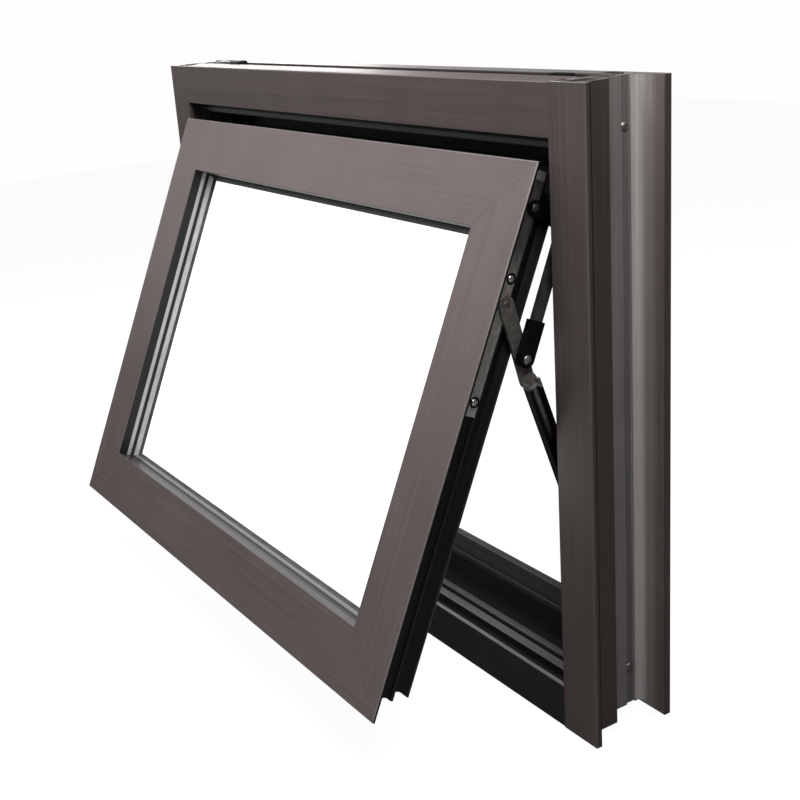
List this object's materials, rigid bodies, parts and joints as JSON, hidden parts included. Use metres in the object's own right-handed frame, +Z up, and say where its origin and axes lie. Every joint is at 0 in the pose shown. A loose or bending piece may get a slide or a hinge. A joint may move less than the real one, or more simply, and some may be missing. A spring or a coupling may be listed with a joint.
{
  "type": "top hung awning window",
  "caption": "Aluminium window whose sash hangs at the top and swings out at the bottom on a pair of friction stays.",
  "frame": {"origin": "middle of the flat face under the sill that bears on the wall, half way along the window", "axes": "+X to the right seen from outside, +Y into the building, +Z up"},
  "size_m": [0.823, 0.2857, 0.6035],
  "materials": {
    "frame_coat": "satin bronze-grey coating",
    "sash_coat": "satin bronze-grey coating",
    "bead_coat": "satin bronze-grey coating",
    "seal_rubber": "matt black",
    "pane": "white translucent glass",
    "stay_steel": "dull grey",
    "stay_black": "satin black"
  },
  "bodies": {
    "root": {"frame_head": "frame_coat", "frame_jamb_left": "frame_coat", "frame_jamb_right": "frame_coat", "frame_seal": "seal_rubber", "frame_sill": "frame_coat", "glass_pane": "pane", "glazing_bead_bottom": "bead_coat", "glazing_bead_left": "bead_coat", "glazing_bead_right": "bead_coat", "glazing_bead_top": "bead_coat", "glazing_seal_inner": "seal_rubber", "glazing_seal_outer": "seal_rubber", "head_plug": "seal_rubber", "sash_bottom_rail": "sash_coat", "sash_stile_left": "sash_coat", "sash_stile_right": "sash_coat", "sash_top_rail": "sash_coat", "stay_arm_left": "stay_black", "stay_arm_right": "stay_black", "stay_bar_left": "stay_steel", "stay_bar_right": "stay_steel", "stay_link_left": "stay_black", "stay_link_right": "stay_black", "stay_plate_left": "stay_steel", "stay_plate_right": "stay_steel", "stay_rail_left": "stay_steel", "stay_rail_right": "stay_steel", "stay_rod_left": "stay_black", "stay_rod_right": "stay_black", "stay_sleeve_left": "stay_black", "stay_sleeve_right": "stay_black"}
  },
  "joints": []
}
